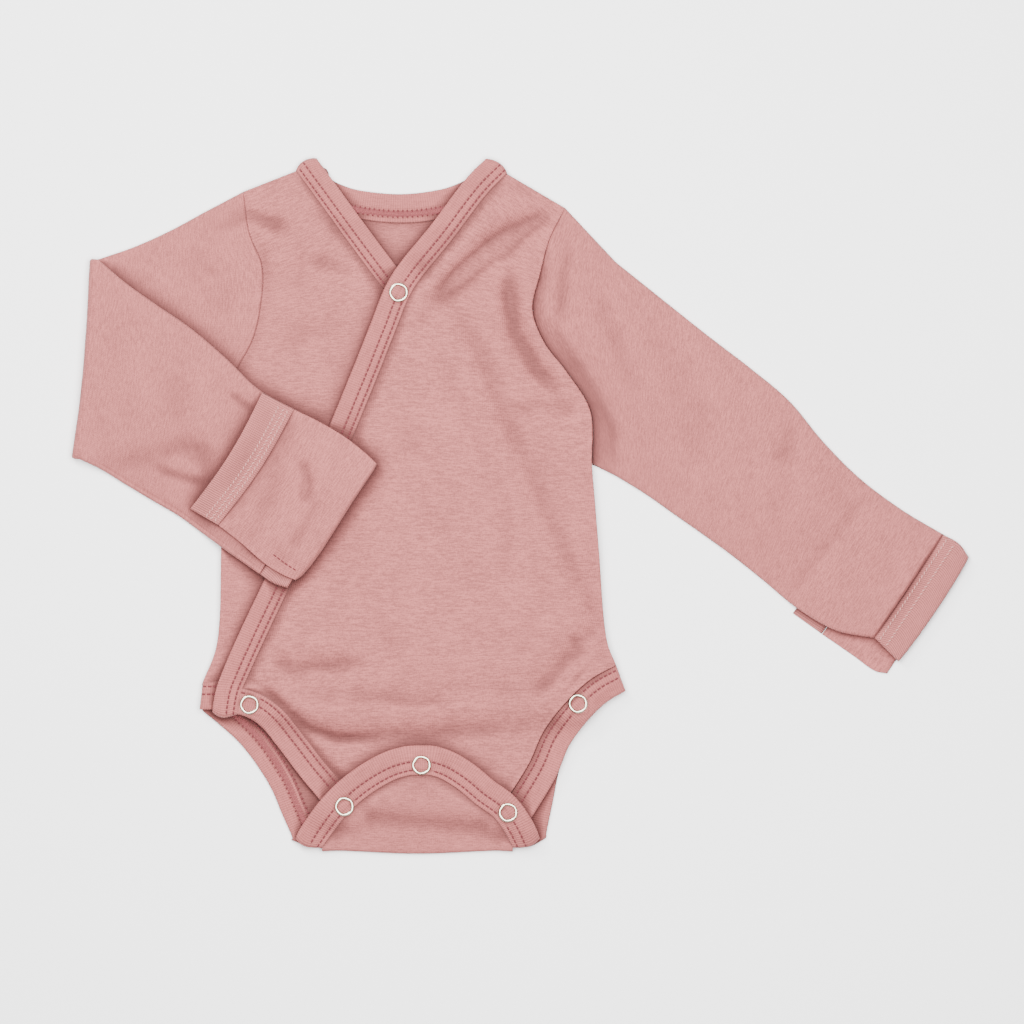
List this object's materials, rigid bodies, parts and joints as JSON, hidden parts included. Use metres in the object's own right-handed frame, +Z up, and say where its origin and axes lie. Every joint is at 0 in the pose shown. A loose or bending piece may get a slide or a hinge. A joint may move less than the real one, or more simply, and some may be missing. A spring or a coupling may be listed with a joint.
{
  "type": "baby onesie",
  "caption": "Newborn's long-sleeved wrap bodysuit with fold-over mittens and snaps, laid flat with one sleeve folded over.",
  "frame": {"origin": "middle of the footprint, on the surface the garment lies on", "axes": "+Y towards the neck, +X towards the straight sleeve (to the right in the picture), +Z up from the surface"},
  "size_m": [0.4331, 0.337, 0.0111],
  "materials": {
    "jersey": "heathered dusty pink cotton interlock",
    "rib": "dusty pink rib binding with twin rows of dark rose stitches",
    "cuff_rib": "fine dusty pink rib hem band with pale pink stitches",
    "snap_metal": "bright nickel-coloured prong ring"
  },
  "bodies": {
    "root": {"back": "jersey", "back_neck_binding": "rib", "back_leg_binding_left": "rib", "back_leg_binding_right": "rib", "flap_binding": "rib", "front_under": "jersey", "front_under_neck_binding": "rib", "front_under_hem_binding": "rib", "front_over": "jersey", "front_over_wrap_binding": "rib", "front_leg_binding_left": "rib", "front_leg_binding_right": "rib", "sleeve_left": "jersey", "sleeve_right": "jersey", "cuff_band_left": "cuff_rib", "cuff_band_right": "cuff_rib", "mitten_left": "jersey", "mitten_right": "jersey", "mitten_band_left": "cuff_rib", "mitten_band_right": "cuff_rib", "snap_ring_neck": "snap_metal", "snap_ring_hip_left": "snap_metal", "snap_ring_hip_right": "snap_metal", "snap_ring_flap_left": "snap_metal", "snap_ring_flap_top": "snap_metal", "snap_ring_flap_right": "snap_metal", "snap_stud_neck": "snap_metal", "snap_stud_hip_left": "snap_metal", "snap_stud_hip_right": "snap_metal", "snap_stud_flap_left": "snap_metal", "snap_stud_flap_top": "snap_metal", "snap_stud_flap_right": "snap_metal"}
  },
  "joints": []
}
